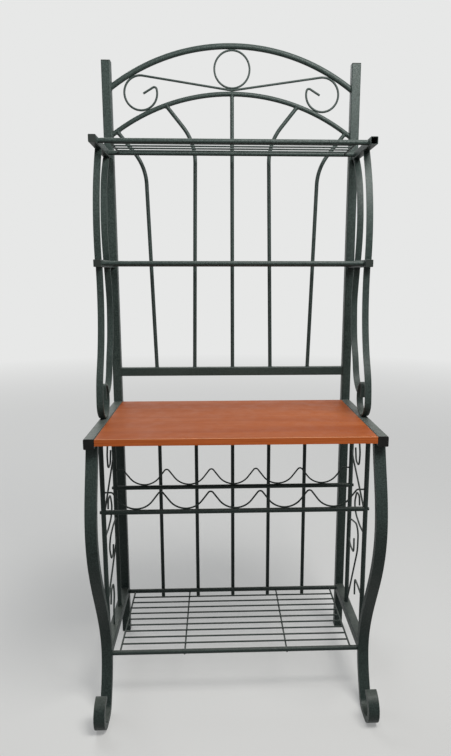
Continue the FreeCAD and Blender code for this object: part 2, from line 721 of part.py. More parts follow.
def upright_room(side, reach):
    """The space that an upright takes, with the weld gap round it."""
    foot = Vector(side * post_x, forward(reach), 0)
    return round_rod(foot, foot + Z_AXIS * far, bar_diameter + 2 * weld_gap)


def half_turned(path):
    """A scroll's path turned half round within its side frame."""
    return [(1 - across, 1 - up, radius) for across, up, radius in path]


def side_scrolls(paths):
    """Scrollwork between the left-hand frame's two uprights."""
    span = front_upright_reach - rear_upright_reach
    height = worktop_underside - lower_shelf_height
    frame = block(-far, 0, forward(front_upright_reach), forward(rear_upright_reach),
                  lower_shelf_height, worktop_underside)
    scrolls = []
    for path in paths:
        points = []
        for across, up, _ in path:
            y = forward(rear_upright_reach + across * span)
            points.append(Vector(-post_x, y, lower_shelf_height + up * height))
        edges = rounded_path(points, [radius for _, _, radius in path])
        rod = bent_rod(edges, side_scroll_diameter).common(frame)
        for reach in (front_upright_reach, rear_upright_reach):
            rod = rod.cut(upright_room(-1, reach))
        scrolls.append(max(rod.Solids, key=lambda solid: solid.Volume))
    return group(scrolls)


# ---------------------------------------------------------------- wine rack
def wine_bar(reach):
    """Solid bar between two uprights, with a tapped hole in each end."""
    bar = crosswise(2 * post_x, reach, wine_bar_height, bar_diameter, 0)
    for side in (-1, 1):
        bar = bar.cut(upright_room(side, reach))
        head_x = side * (post_x + bar_diameter / 2)
        start = Vector(head_x, forward(reach), wine_bar_height)
        hole_depth = bolt_length + bolt_hole_spare
        bar = bar.cut(round_rod(start, start - X_AXIS * (side * hole_depth),
                                bolt_shank_diameter + bolt_clearance))
    return max(bar.Solids, key=lambda solid: solid.Volume)


def wine_wave(reach):
    """Wavy wire that stands on a wine bar, cradles the bottles and ends level at the uprights."""
    slope = math.radians(wine_wave_slope)
    curved_run = (wine_dip_radius + wine_peak_radius) * math.sin(slope)
    flank_length = (wine_wave_pitch / 2 - curved_run) / math.cos(slope)
    z_low = wine_bar_height + (bar_diameter + shelf_wire_diameter) / 2 + weld_gap
    position = Vector(0, forward(reach), z_low)
    heading = X_AXIS
    edges = []
    last_peak = math.floor(post_x / wine_wave_pitch - 0.5)
    half_wave_count = 2 * last_peak + 1
    for index in range(half_wave_count):
        at_dip = index % 2 == 0
        up = -1 if at_dip else 1
        leaving = wine_dip_radius if at_dip else wine_peak_radius
        meeting = wine_peak_radius if at_dip else wine_dip_radius
        first, position, heading = arc_from(position, heading, Y_AXIS, leaving, up * wine_wave_slope)
        flank_end = position + heading * flank_length
        edges.append(first)
        edges.append(Part.LineSegment(position, flank_end).toShape())
        last, position, heading = arc_from(flank_end, heading, Y_AXIS, meeting, -up * wine_wave_slope)
        edges.append(last)
    edges.append(Part.LineSegment(position, Vector(post_x, position.y, position.z)).toShape())
    half = bent_rod(edges, shelf_wire_diameter).cut(upright_room(1, reach))
    return half.fuse(mirrored(half)).removeSplitter()


def wine_bolts():
    bolts = []
    for side in (-1, 1):
        for reach in (front_upright_reach, rear_upright_reach):
            seat = Vector(side * (post_x + bar_diameter / 2), forward(reach), wine_bar_height)
            head = round_rod(seat, seat + X_AXIS * (side * bolt_head_height), bolt_head_diameter)
            shank = round_rod(seat, seat - X_AXIS * (side * bolt_length), bolt_shank_diameter)
            bolts.append(head.fuse(shank).removeSplitter())
    return group(bolts)


# ---------------------------------------------------------------- bottom of the back, lower shelf
def bottom_bars():
    top_z = worktop_underside - back_rail_height
    bars = []
    for index in range(bottom_bar_count):
        x = (index - (bottom_bar_count - 1) / 2) * bottom_bar_spacing
        foot = panel_point(x, bottom_bar_foot)
        bars.append(round_tube(foot, panel_point(x, top_z), spindle_diameter, tube_wall))
    return group(bars)


def lower_shelf():
    z = lower_shelf_height - lower_bar_drop
    rear_bar_y = panel_y - spindle_diameter / 2 - weld_gap - bar_diameter / 2
    rear_reach = post_front_y - rear_bar_y
    rail_z = lower_shelf_height - post_size / 2
    rail_ends = [Vector(-post_x, y, rail_z) for y in (forward(lower_front_bar_reach), post_front_y)]
    rail = box_tube(rail_ends[0], rail_ends[1], post_size, post_size, post_corner, tube_wall, X_AXIS)
    leg_room = leg_ribbon(leg_thickness + 2 * weld_gap, -half_width, leg_width, post_size)
    rail = max(rail.cut(leg_room).Solids, key=lambda solid: solid.Volume)
    save_pair("lower_shelf_rail", rail)
    front_span = 2 * (half_width - leg_width)
    save("lower_shelf_front_bar", crosswise(front_span, lower_front_bar_reach, z, bar_diameter, tube_wall))
    save("lower_shelf_rear_bar", crosswise(2 * inner_x, rear_reach, z, bar_diameter, tube_wall))
    save("lower_shelf_end_bars", end_bars(lower_end_wire_x, lower_front_bar_reach, rear_reach, z))
    middle_reach = (lower_front_bar_reach + rear_reach) / 2
    wires = []
    for index in range(lower_wire_count):
        reach = middle_reach + (index - (lower_wire_count - 1) / 2) * lower_wire_pitch
        wires.append(shelf_wire(lower_end_wire_x, reach, z))
    cross_z = z - shelf_wire_diameter - weld_gap
    bar_room = crosswise(front_span, lower_front_bar_reach, z, bar_diameter + 2 * weld_gap, 0)
    bar_room = bar_room.fuse(crosswise(front_span, rear_reach, z, bar_diameter + 2 * weld_gap, 0))
    for x in (-lower_cross_x, lower_cross_x):
        cross = round_rod(Vector(x, forward(lower_front_bar_reach), cross_z),
                          Vector(x, forward(rear_reach), cross_z), shelf_wire_diameter)
        wires.append(max(cross.cut(bar_room).Solids, key=lambda solid: solid.Volume))
    save("lower_shelf_wires", group(wires))


def base():
    save_pair("front_leg", front_leg())
    save_pair("rear_leg", rear_leg())
    save_pair("side_uprights", group([upright(front_upright_reach), upright(rear_upright_reach)]))
    left_lower_paths = [half_turned(path) for path in upper_scroll_paths]
    save("side_scrolls_left", side_scrolls(upper_scroll_paths + left_lower_paths))
    save("side_scrolls_right", mirrored(side_scrolls(upper_scroll_paths + right_lower_scroll_paths)))
    save("wine_bar_front", wine_bar(front_upright_reach))
    save("wine_bar_rear", wine_bar(rear_upright_reach))
    save("wine_wave_front", wine_wave(front_upright_reach))
    save("wine_wave_rear", wine_wave(rear_upright_reach))
    save("wine_bolts", wine_bolts())
    save("lower_back_rail", back_rail(worktop_underside))
    save("lower_back_bars", bottom_bars())
    lower_shelf()


os.makedirs("parts", exist_ok=True)
back_panel()
wire_shelf("top_shelf", top_shelf_top, False)
wire_shelf("second_shelf", second_shelf_top, True)
side_strips()
worktop_parts()
tube_caps()
base()
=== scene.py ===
import math
import random

import bmesh
import bpy
from mathutils import Matrix, Vector


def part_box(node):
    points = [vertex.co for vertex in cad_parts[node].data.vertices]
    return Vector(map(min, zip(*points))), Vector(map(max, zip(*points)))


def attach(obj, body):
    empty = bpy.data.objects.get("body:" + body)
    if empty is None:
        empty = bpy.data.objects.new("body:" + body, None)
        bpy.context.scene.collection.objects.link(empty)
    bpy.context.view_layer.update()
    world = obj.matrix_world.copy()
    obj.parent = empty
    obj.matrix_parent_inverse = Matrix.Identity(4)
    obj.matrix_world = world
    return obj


# Looks of the bakers rack, in metres. The CAD nodes keep their shapes and get procedural materials,
# and the weld beads between them are added.

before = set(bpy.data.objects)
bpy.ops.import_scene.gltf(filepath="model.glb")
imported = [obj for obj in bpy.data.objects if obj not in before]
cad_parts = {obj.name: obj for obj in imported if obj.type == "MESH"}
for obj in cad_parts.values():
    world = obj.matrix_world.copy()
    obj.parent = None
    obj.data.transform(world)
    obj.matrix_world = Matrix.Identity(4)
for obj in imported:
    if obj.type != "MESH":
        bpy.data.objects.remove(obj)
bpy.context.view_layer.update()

MM = 0.001

# ---------------------------------------------------------------- camera
# Solved from the straight tubes of the photo and their joints.
FRAME_WIDTH_PX = 451
FRAME_HEIGHT_PX = 756
FOCAL_PX = 578.0
PRINCIPAL_X_PX = 238.35
SENSOR_MM = 36.0
CAMERA_PLACE = (-0.0455, -1.534, 1.1603)
YAW = math.radians(2.073)
PITCH = math.radians(-10.13)

camera_data = bpy.data.cameras.new("camera")
camera = bpy.data.objects.new("camera", camera_data)
bpy.context.scene.collection.objects.link(camera)
camera_data.sensor_width = SENSOR_MM
camera_data.lens = SENSOR_MM * FOCAL_PX / FRAME_HEIGHT_PX
camera_data.shift_x = (FRAME_WIDTH_PX / 2 - PRINCIPAL_X_PX) / FRAME_HEIGHT_PX
camera.location = CAMERA_PLACE
camera.rotation_euler = (math.pi / 2 + PITCH, 0, -YAW)
bpy.context.scene.camera = camera
bpy.context.scene.view_settings.view_transform = "Standard"

# ---------------------------------------------------------------- shader helpers
MIX_SHARE, MIX_FIRST, MIX_SECOND = 0, 6, 7      # inputs of a colour Mix node
MIX_RESULT = 2                                  # and its colour output
NOISE_MIDDLE = (0.3, 0.7)                       # most of a noise texture's values lie between these


class Tree:
    """Short ways to add shader nodes to a material or a world."""

    def __init__(self, owner):
        owner.use_nodes = True
        self.nodes = owner.node_tree.nodes
        self.links = owner.node_tree.links

    def add(self, kind, **settings):
        node = self.nodes.new("ShaderNode" + kind)
        for key, value in settings.items():
            setattr(node, key, value)
        return node

    def join(self, out, into):
        self.links.new(out, into)

    def feed(self, socket, value):
        """Gives an input its value, which is a socket, a colour or a number."""
        if isinstance(value, bpy.types.NodeSocket):
            self.join(value, socket)
        elif isinstance(value, tuple):
            socket.default_value = (*value, 1.0)
        else:
            socket.default_value = value

    def seen_share(self):
        """1 for rays that show the surroundings: camera, glossy and transmission rays."""
        rays = self.add("LightPath")
        total = rays.outputs["Is Camera Ray"]
        for name in ("Is Glossy Ray", "Is Transmission Ray"):
            either = self.add("Math", operation="MAXIMUM")
            self.join(total, either.inputs[0])
            self.join(rays.outputs[name], either.inputs[1])
            total = either.outputs[0]
        return total

    def mix_shaders(self, share, first, second, end):
        """Mixes two shaders into the output node named end."""
        node = self.add("MixShader")
        self.join(share, node.inputs[0])
        self.join(first, node.inputs[1])
        self.join(second, node.inputs[2])
        self.join(node.outputs[0], self.nodes[end].inputs["Surface"])


class Look(Tree):
    """A new material, and short ways to vary it."""

    def __init__(self, name):
        self.material = bpy.data.materials.new(name)
        super().__init__(self.material)
        self.shader = self.nodes["Principled BSDF"]

    def place(self, stretch=(1, 1, 1)):
        mapping = self.add("Mapping")
        mapping.inputs["Scale"].default_value = stretch
        self.join(self.add("TexCoord").outputs["Object"], mapping.inputs["Vector"])
        return mapping.outputs["Vector"]

    def noise(self, scale, detail=2.0, stretch=(1, 1, 1), distortion=0.0):
        node = self.add("TexNoise")
        self.feed(node.inputs["Scale"], scale)
        self.feed(node.inputs["Detail"], detail)
        self.feed(node.inputs["Distortion"], distortion)
        self.join(self.place(stretch), node.inputs["Vector"])
        return node.outputs["Fac"]

    def cells(self, scale):
        node = self.add("TexVoronoi", feature="SMOOTH_F1")
        self.feed(node.inputs["Scale"], scale)
        self.join(self.place(), node.inputs["Vector"])
        return node.outputs["Distance"]

    def spread(self, value, low, high, out_low=0.0, out_high=1.0):
        """Turns low..high into out_low..out_high, and stops at both."""
        node = self.add("MapRange")
        self.feed(node.inputs["From Min"], low)
        self.feed(node.inputs["From Max"], high)
        self.feed(node.inputs["To Min"], out_low)
        self.feed(node.inputs["To Max"], out_high)
        self.join(value, node.inputs["Value"])
        return node.outputs["Result"]

    def mix(self, share, first, second):
        """Colour mix."""
        node = self.add("Mix", data_type="RGBA")
        self.feed(node.inputs[MIX_SHARE], share)
        self.feed(node.inputs[MIX_FIRST], first)
        self.feed(node.inputs[MIX_SECOND], second)
        return node.outputs[MIX_RESULT]

    def times(self, first, second):
        node = self.add("Math", operation="MULTIPLY")
        self.feed(node.inputs[0], first)
        self.feed(node.inputs[1], second)
        return node.outputs[0]

    def part_of(self, vector, axis):
        split = self.add("SeparateXYZ")
        self.join(vector, split.inputs[0])
        return split.outputs[axis]

    def normal_part(self, axis):
        return self.part_of(self.add("NewGeometry").outputs["Normal"], axis)

    def position_part(self, axis):
        return self.part_of(self.add("TexCoord").outputs["Object"], axis)

    def bump(self, height, distance, strength, under=None):
        node = self.add("Bump")
        self.feed(node.inputs["Strength"], strength)
        self.feed(node.inputs["Distance"], distance)
        self.join(height, node.inputs["Height"])
        if under is not None:
            self.join(under, node.inputs["Normal"])
        return node.outputs["Normal"]

    def set(self, name, value):
        self.feed(self.shader.inputs[name], value)

    def set_roughness(self, low, high, scale, detail=2.0):
        """Roughness that wanders from low to high."""
        self.set("Roughness", self.spread(self.noise(scale, detail), *NOISE_MIDDLE, low, high))


# ---------------------------------------------------------------- materials
COAT_DARK = (0.0115, 0.0195, 0.017)
COAT_LIGHT = (0.049, 0.069, 0.063)
COAT_DUST_AND_TOP_LIGHT = 0.3                                 # share of the pale dust and painted light from above on upward faces
WELD_DARK = (0.011, 0.0185, 0.016)
WELD_LIGHT = (0.046, 0.064, 0.059)
# share of the dust and painted light from above on the welds' upward faces
WELD_DUST_AND_TOP_LIGHT = 0.15
# pale grey for the dust and for the painted light from above
DUST_AND_TOP_LIGHT_COLOUR = (0.27, 0.28, 0.25)
CHERRY_DARK = (0.285, 0.067, 0.016)
CHERRY_LIGHT = (0.38, 0.106, 0.03)
CHERRY_STREAK = (0.24, 0.055, 0.016)
CHERRY_PORE = (0.16, 0.045, 0.02)
BAND_DARK = (0.435, 0.095, 0.022)
BAND_LIGHT = (0.6, 0.152, 0.04)
# pale orange of the painted highlight along the board's top edge
RIM_HIGHLIGHT_COLOUR = (0.6, 0.29, 0.16)
BOARD_UNDERSIDE = (0.23, 0.15, 0.1)
CAP_LOWER = (0.0075, 0.0075, 0.007)
CAP_UPPER = (0.022, 0.028, 0.025)
CAP_SCUFF = (0.035, 0.038, 0.035)
CAP_CHANGE_Z = (0.98, 1.02)                     # between the worktop's caps and those above it
ZINC_DARK = (0.42, 0.42, 0.4)
ZINC_LIGHT = (0.6, 0.6, 0.58)


def powder_coat(name, dark, light, dust_and_top_light_share):
    """Hammered green powder coat: small dimples, lighter flecks, and upward faces paled by dust and
    by painted light from above.
    """
    look = Look(name)
    flecks = look.spread(look.noise(420, detail=3.0), 0.38, 0.66)
    colour = look.mix(flecks, dark, light)
    patches = look.spread(look.noise(9), *NOISE_MIDDLE)
    colour = look.mix(look.times(patches, 0.3), colour, light)
    # upward faces turn paler: dust, and painted light from above
    dust_and_top_light_film = look.spread(look.normal_part("Z"), 0.55, 1.0)
    dust_and_top_light_film = look.times(dust_and_top_light_film, look.spread(look.noise(35, detail=3.0), 0.25, 0.75, 0.35, 1.0))
    look.set("Base Color", look.mix(look.times(dust_and_top_light_film, dust_and_top_light_share), colour, DUST_AND_TOP_LIGHT_COLOUR))
    look.set_roughness(0.36, 0.5, scale=160)
    look.set("Specular IOR Level", 0.2)
    dimples = look.bump(look.cells(330), distance=0.6 * MM, strength=0.55)
    fine = look.bump(look.noise(900), distance=0.15 * MM, strength=0.5, under=dimples)
    look.set("Normal", fine)
    return look.material


def laminate(name):
    """Cherry laminate with fine grain along X, a brighter front edge band and a painted highlight
    along the top edge.
    """
    look = Look(name)
    broad = look.noise(1.0, detail=3.0, stretch=(1.1, 26, 26), distortion=0.6)
    colour = look.mix(look.spread(broad, *NOISE_MIDDLE), CHERRY_DARK, CHERRY_LIGHT)
    streaks = look.noise(1.0, detail=4.0, stretch=(5, 330, 330), distortion=0.3)
    streaks = look.spread(streaks, 0.35, 0.7)
    colour = look.mix(look.times(streaks, 0.42), colour, CHERRY_STREAK)
    pores = look.spread(look.noise(1.0, stretch=(70, 1300, 1300)), 0.62, 0.78)
    colour = look.mix(look.times(pores, 0.35), colour, CHERRY_PORE)

    band_grain = look.noise(1.0, detail=3.0, stretch=(7, 420, 420))
    band = look.mix(look.spread(band_grain, *NOISE_MIDDLE), BAND_DARK, BAND_LIGHT)
    colour = look.mix(look.spread(look.normal_part("Y"), -0.75, -0.95), colour, band)
    upward = look.normal_part("Z")
    # the rounded edge between the top and the sides is paled: a painted highlight
    painted_rim_highlight = look.times(look.spread(upward, 0.97, 0.85), look.spread(upward, 0.1, 0.3))
    colour = look.mix(look.times(painted_rim_highlight, 0.75), colour, RIM_HIGHLIGHT_COLOUR)
    colour = look.mix(look.spread(upward, -0.6, -0.9), colour, BOARD_UNDERSIDE)

    look.set("Base Color", colour)
    look.set_roughness(0.42, 0.55, scale=30, detail=3.0)
    look.set("Specular IOR Level", 0.12)
    look.set("Normal", look.bump(streaks, distance=0.12 * MM, strength=0.5))
    return look.material


def moulded_plastic(name):
    """Tube caps: fine-grained plastic, near black on the worktop rails and greener above."""
    look = Look(name)
    upper = look.spread(look.position_part("Z"), *CAP_CHANGE_Z)
    colour = look.mix(upper, CAP_LOWER, CAP_UPPER)
    scuffs = look.spread(look.noise(60, detail=3.0), 0.35, 0.75, 0.0, 0.3)
    look.set("Base Color", look.mix(scuffs, colour, CAP_SCUFF))
    look.set_roughness(0.5, 0.65, scale=90)
    look.set("Specular IOR Level", 0.16)
    look.set("Normal", look.bump(look.noise(1500), distance=0.1 * MM, strength=0.5))
    return look.material


def zinc(name):
    """Zinc plate with small paler crystals."""
    look = Look(name)
    crystals = look.spread(look.cells(700), 0.2, 0.8)
    look.set("Base Color", look.mix(crystals, ZINC_DARK, ZINC_LIGHT))
    look.set("Metallic", 0.9)
    look.set_roughness(0.3, 0.5, scale=400)
    look.set("Normal", look.bump(look.noise(1200), distance=0.08 * MM, strength=0.4))
    return look.material


coat = powder_coat("green_coat", COAT_DARK, COAT_LIGHT, COAT_DUST_AND_TOP_LIGHT)
weld_coat = powder_coat("green_weld_coat", WELD_DARK, WELD_LIGHT, WELD_DUST_AND_TOP_LIGHT)
other_looks = {"worktop_board": laminate("cherry_laminate"),
               "tube_end_caps": moulded_plastic("cap_plastic_look"),
               "worktop_screws": zinc("zinc_plate")}
for node_name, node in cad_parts.items():
    for slot in node.material_slots:
        slot.material = other_looks.get(node_name, coat)


# ---------------------------------------------------------------- points of the CAD nodes
X, Y, Z = range(3)
END_DEPTH = 0.5 * MM                            # how deep a part's end is taken to be
WAVE_END_DEPTH = 1.5 * MM
ARCH_FOOT_DEPTH = 0.2 * MM
RING_DEPTH = 1 * MM
ON_FACE = 0.3 * MM                              # a point this near a face lies on it


def loose_parts(node_name):
    """Points of each separate solid in a node."""
    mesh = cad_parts[node_name].data
    leader = {}
    keys = [tuple(round(part, 6) for part in vertex.co) for vertex in mesh.vertices]

    def chief(key):
        while leader.get(key, key) != key:
            leader[key] = leader.get(leader[key], leader[key])
            key = leader[key]
        return key

    for edge in mesh.edges:
        first, second = (chief(keys[index]) for index in edge.vertices)
        leader[first] = second
    parts = {}
    for key in set(keys):
        parts.setdefault(chief(key), []).append(Vector(key))
    return [sorted(points, key=tuple) for _, points in sorted(parts.items())]


def only_part(node_name):
    """Points of a node that is one solid."""
    return loose_parts(node_name)[0]


def extent(points, axis):
    return min(point[axis] for point in points), max(point[axis] for point in points)


def span(points, axis):
    low, high = extent(points, axis)
    return high - low


def middle_of(points, axis):
    return sum(extent(points, axis)) / 2


def centre_of(points):
    return Vector([middle_of(points, axis) for axis in (X, Y, Z)])


def end_middle(points, axis, sign, depth=END_DEPTH):
    """Middle of a part's end, the low one where sign is -1 and the high one where it is 1."""
    limit = max(point[axis] * sign for point in points)
    last = [point for point in points if point[axis] * sign > limit - depth]
    return sum(last, Vector()) / len(last)


def arch_circle(node_name):
    """Middle line of an arch: its centre, radius and wire radius, from the ends and the crown."""
    points = only_part(node_name)
    wire = span(points, Y) / 2
    crown_z = extent(points, Z)[1] - wire
    half_span = extent(points, X)[1]
    foot = [point for point in points if point.x > half_span - ARCH_FOOT_DEPTH]
    drop = crown_z - middle_of(foot, Z)
    radius = (half_span ** 2 + drop ** 2) / (2 * drop)
    return Vector((0, middle_of(points, Y), crown_z - radius)), radius, wire


# ---------------------------------------------------------------- weld beads
X_AXIS = Vector((1, 0, 0))
Y_AXIS = Vector((0, 1, 0))
Z_AXIS = Vector((0, 0, 1))
SIDES = ((-1, "left"), (1, "right"))
BAR_RADIUS = 6.35 * MM
SPINDLE_RADIUS = 5.6 * MM
SPINDLE_SPLAY = math.radians(39.4)              # lean of a bent spindle's head
WIRE_RADIUS = 2.25 * MM
END_WIRE_RADIUS = 2.5 * MM
SCROLL_RADIUS = 2.5 * MM
WAVE_PITCH = 132.5 * MM                         # from hollow to hollow of the wine waves
WAVE_HOLLOWS = range(-2, 3)

TUBE_BEAD = 1.5 * MM                            # radius of the bead round a tube or along a strip
STRIP_RING_BEAD = 1.2 * MM                      # radius of the beads under a strip's lower ring
STRIP_RING_GAP = 7 * MM                         # from the ring's middle to each of them
STRIP_RING_RISE = 0.4 * MM                      # height of those beads over the ring's lowest point
BEAD_STEP = 2.2 * MM
BEAD_SIDES = 8
BEAD_WAVE = 0.15                                # share by which a bead swells and shrinks
BEAD_WAVE_TURN = 2.1                            # radians of that wave from one step to the next
BEAD_UNEVEN = 0.08                              # random share on top of the wave
BEAD_TIP = 0.35                                 # share of the radius left at an open end
FACE_RING_STEPS = 18
BAR_RING_STEPS = 20
ARCH_START_SHARE = 0.02                         # how far from the post, over the arch's radius

BLOB_SHARE = 1.25                               # tack weld's radius over the wire's radius
TACK_UNEVEN = (0.88, 1.08)                      # random share of a tack's radius
CROSSING_SHIFTS = (-3 * MM, 0, 3 * MM)          # tacks side by side where two rods cross
ARCH_RING_TACK = 1.8 * MM
ARCH_SCROLL_TACK = 1.9 * MM
WAVE_TACK = 1.7 * MM
BACK_BAR_TACK = 2.2 * MM
BACK_BAR_SHIFTS = (-3.5 * MM, 3.5 * MM)
UPRIGHT_REACH = BAR_RADIUS + 0.6 * MM           # a scroll this near an upright's middle touches it
RAIL_REACH = 0.1 * MM                           # a scroll this near an upright's end touches a rail
chance = random.Random(7)


def circle(centre, side, other, radius, steps):
    """Points round a centre, in the plane of side and other."""
    turns = [2 * math.pi * step / steps for step in range(steps)]
    return [centre + (side * math.cos(turn) + other * math.sin(turn)) * radius for turn in turns]


def circle_round(start, axis, radius, steps):
    """Points round a start, square to axis."""
    side = axis.orthogonal().normalized()
    return circle(start, side, axis.cross(side).normalized(), radius, steps)


class Welds:
    """A piece made of lumpy beads and tacks."""

    def __init__(self, name):
        self.name = name
        self.mesh = bmesh.new()

    def bead(self, points, closed, radius=TUBE_BEAD):
        """Lumpy bead that follows the points."""
        count = len(points)
        phase = chance.uniform(0, 2 * math.pi)
        rings = []
        side = None
        for index, point in enumerate(points):
            ahead = points[(index + 1) % count] if closed or index < count - 1 else point
            behind = points[index - 1] if closed or index > 0 else point
            along = (ahead - behind).normalized()
            side = along.orthogonal() if side is None else side - along * side.dot(along)
            side.normalize()
            wave = BEAD_WAVE * math.sin(phase + index * BEAD_WAVE_TURN)
            lump = radius * (1.0 + wave + chance.uniform(-BEAD_UNEVEN, BEAD_UNEVEN))
            if not closed and index in (0, count - 1):
                lump *= BEAD_TIP
            spots = circle(point, side, along.cross(side), lump, BEAD_SIDES)
            rings.append([self.mesh.verts.new(spot) for spot in spots])
        for index in range(count if closed else count - 1):
            here = rings[index]
            there = rings[(index + 1) % count]
            shift = min(range(BEAD_SIDES), key=lambda turn: (there[turn].co - here[0].co).length)
            there = there[shift:] + there[:shift]
            for step in range(BEAD_SIDES):
                after = (step + 1) % BEAD_SIDES
                self.mesh.faces.new((here[step], here[after], there[after], there[step]))
        if not closed:
            self.mesh.faces.new(rings[0])
            self.mesh.faces.new(rings[-1])

    def line(self, corners, radius=TUBE_BEAD):
        """Open bead through the corners."""
        points = []
        for start, end in zip(corners, corners[1:]):
            count = max(2, round((end - start).length / BEAD_STEP))
            points += [start.lerp(end, step / count) for step in range(count)]
        self.bead(points + [corners[-1]], closed=False, radius=radius)

    def line_across(self, ends_x, y, z, radius=TUBE_BEAD):
        """Straight bead along X."""
        self.line([Vector((x, y, z)) for x in ends_x], radius)

    def ring_on_face(self, start, axis, radius, face_point, normal):
        """Bead round a round bar where it meets a flat face."""
        points = [origin + axis * ((face_point - origin).dot(normal) / axis.dot(normal))
                  for origin in circle_round(start, axis, radius, FACE_RING_STEPS)]
        self.bead(points, closed=True)

    def ring_on_bar(self, start, axis, radius, bar_point, bar_axis, bar_radius):
        """Bead round a bar where it meets another, to which axis points from start on the bar."""
        run = axis - bar_axis * axis.dot(bar_axis)
        points = []
        for origin in circle_round(start, axis, radius, BAR_RING_STEPS):
            gap = origin - bar_point
            gap -= bar_axis * gap.dot(bar_axis)
            root = gap.dot(run) ** 2 - run.length_squared * (gap.length_squared - bar_radius ** 2)
            reach = (-gap.dot(run) - math.sqrt(max(root, 0))) / run.length_squared
            points.append(origin + axis * reach)
        self.bead(points, closed=True)

    def tack(self, centre, radius):
        """Small uneven blob of weld."""
        made = bmesh.ops.create_icosphere(self.mesh, subdivisions=2, radius=radius,
                                          matrix=Matrix.Translation(centre))
        for vertex in made["verts"]:
            vertex.co = centre + (vertex.co - centre) * chance.uniform(*TACK_UNEVEN)

    def finish(self):
        data = bpy.data.meshes.new(self.name)
        bmesh.ops.recalc_face_normals(self.mesh, faces=self.mesh.faces[:])
        for face in self.mesh.faces:
            face.smooth = True
        self.mesh.to_mesh(data)
        self.mesh.free()
        piece = bpy.data.objects.new(self.name, data)
        bpy.context.scene.collection.objects.link(piece)
        piece.data.materials.append(weld_coat)
        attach(piece, "root")


def spindle_welds(welds, node_name, splay, arch):
    """Rings at a spindle's foot on the back rail and at its head under the lower arch."""
    arch_centre, arch_radius, arch_wire = arch
    points = only_part(node_name)
    foot = end_middle(points, Z, -1)
    welds.ring_on_face(foot + Z_AXIS * BAR_RADIUS, -Z_AXIS, SPINDLE_RADIUS, foot, Z_AXIS)
    axis = Vector((math.sin(splay), 0, math.cos(splay)))
    top = max(points, key=lambda point: point.dot(axis)).dot(axis)
    tip = [point for point in points if point.dot(axis) > top - 2 * arch_wire]
    head = sum(tip, Vector()) / len(tip)
    head.y = arch_centre.y
    spoke = (head - arch_centre).normalized()
    welds.ring_on_bar(head - axis * 4 * arch_wire, axis, SPINDLE_RADIUS,
                      arch_centre + spoke * arch_radius, Y_AXIS.cross(spoke), arch_wire)


def back_panel_welds():
    """Arches, spindles, the ring and scrolls between the arches, and both back rails."""
    welds = Welds("back_panel_welds")
    wall_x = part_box("upper_back_rail")[1].x
    lower_arch = lower_centre, lower_radius, lower_wire = arch_circle("lower_arch")
    top_arch = top_centre, top_radius, top_wire = arch_circle("top_arch")
    for centre, radius, wire in (lower_arch, top_arch):
        for side in (-1, 1):
            wall = Vector((side * wall_x, centre.y, 0))
            angle = math.asin(wall_x / radius)
            touch = centre + Vector((side * math.sin(angle), 0, math.cos(angle))) * radius
            tangent = Vector((side * math.cos(angle), 0, -math.sin(angle)))
            start = touch - tangent * radius * ARCH_START_SHARE
            welds.ring_on_face(start, tangent, wire, wall, X_AXIS)
    spindle_welds(welds, "back_spindle_centre", 0, lower_arch)
    for name in ("inner", "outer"):
        for side, word in SIDES:
            spindle_welds(welds, f"back_spindle_{name}_{word}", side * SPINDLE_SPLAY, lower_arch)
    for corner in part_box("arch_ring"):
        for x in CROSSING_SHIFTS:
            welds.tack(Vector((x, lower_centre.y, corner.z)), ARCH_RING_TACK)
    for _, word in SIDES:
        points = only_part(f"arch_scroll_{word}")
        for centre, reach in ((lower_centre, lower_radius + lower_wire),
                              (top_centre, top_radius - top_wire)):
            near = min(points, key=lambda point: abs((point - centre).length - reach))
            spoke = Vector((near.x - centre.x, 0, near.z - centre.z)).normalized()
            welds.tack(centre + spoke * reach, ARCH_SCROLL_TACK)
    for node_name in ("upper_back_rail", "lower_back_rail"):
        low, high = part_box(node_name)
        corners = ((high.y, high.z), (low.y, high.z), (low.y, low.z), (high.y, low.z))
        for x in (low.x, high.x):
            welds.line([Vector((x, y, z)) for y, z in corners])
    welds.finish()


def grid_welds(welds, name, rail_wall_x):
    """A wire grid: its front and rear bars on the side tubes, and the ends of its wires."""
    for place in ("front", "rear"):
        middle = centre_of(only_part(f"{name}_{place}_bar"))
        for side in (-1, 1):
            wall = Vector((side * rail_wall_x, middle.y, middle.z))
            axis = X_AXIS * side
            welds.ring_on_face(wall - axis * BAR_RADIUS, axis, BAR_RADIUS, wall, X_AXIS)
    for end_bar in loose_parts(name + "_end_bars"):
        for sign in (-1, 1):
            welds.tack(end_middle(end_bar, Y, sign), END_WIRE_RADIUS * BLOB_SHARE)
    for wire in loose_parts(name + "_wires"):
        longest = max((X, Y, Z), key=lambda axis: span(wire, axis))
        for sign in (-1, 1):
            welds.tack(end_middle(wire, longest, sign), WIRE_RADIUS * BLOB_SHARE)


def shelf_welds():
    """The two upper shelves: their grids, and their side tubes' ends on the posts."""
    for name in ("top_shelf", "second_shelf"):
        welds = Welds(name + "_welds")
        low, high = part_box(name + "_rail_left")
        grid_welds(welds, name, -high.x)
        corners = ((low.x + TUBE_BEAD, high.z), (high.x, high.z),
                   (high.x, low.z), (low.x + TUBE_BEAD, low.z))
        for side in (-1, 1):
            welds.line([Vector((-side * x, high.y, z)) for x, z in corners])
        welds.finish()


def strip_end(welds, node_name, sign):
    """Beads along the two faces of a flat strip's top or bottom end."""
    points = only_part(node_name)
    limit = extent(points, Z)[1 if sign > 0 else 0]
    last = [point for point in points if abs(point.z - limit) < ON_FACE]
    x_low, x_high = extent(points, X)
    for y in extent(last, Y):
        welds.line_across((x_low + TUBE_BEAD, x_high - TUBE_BEAD), y, limit)


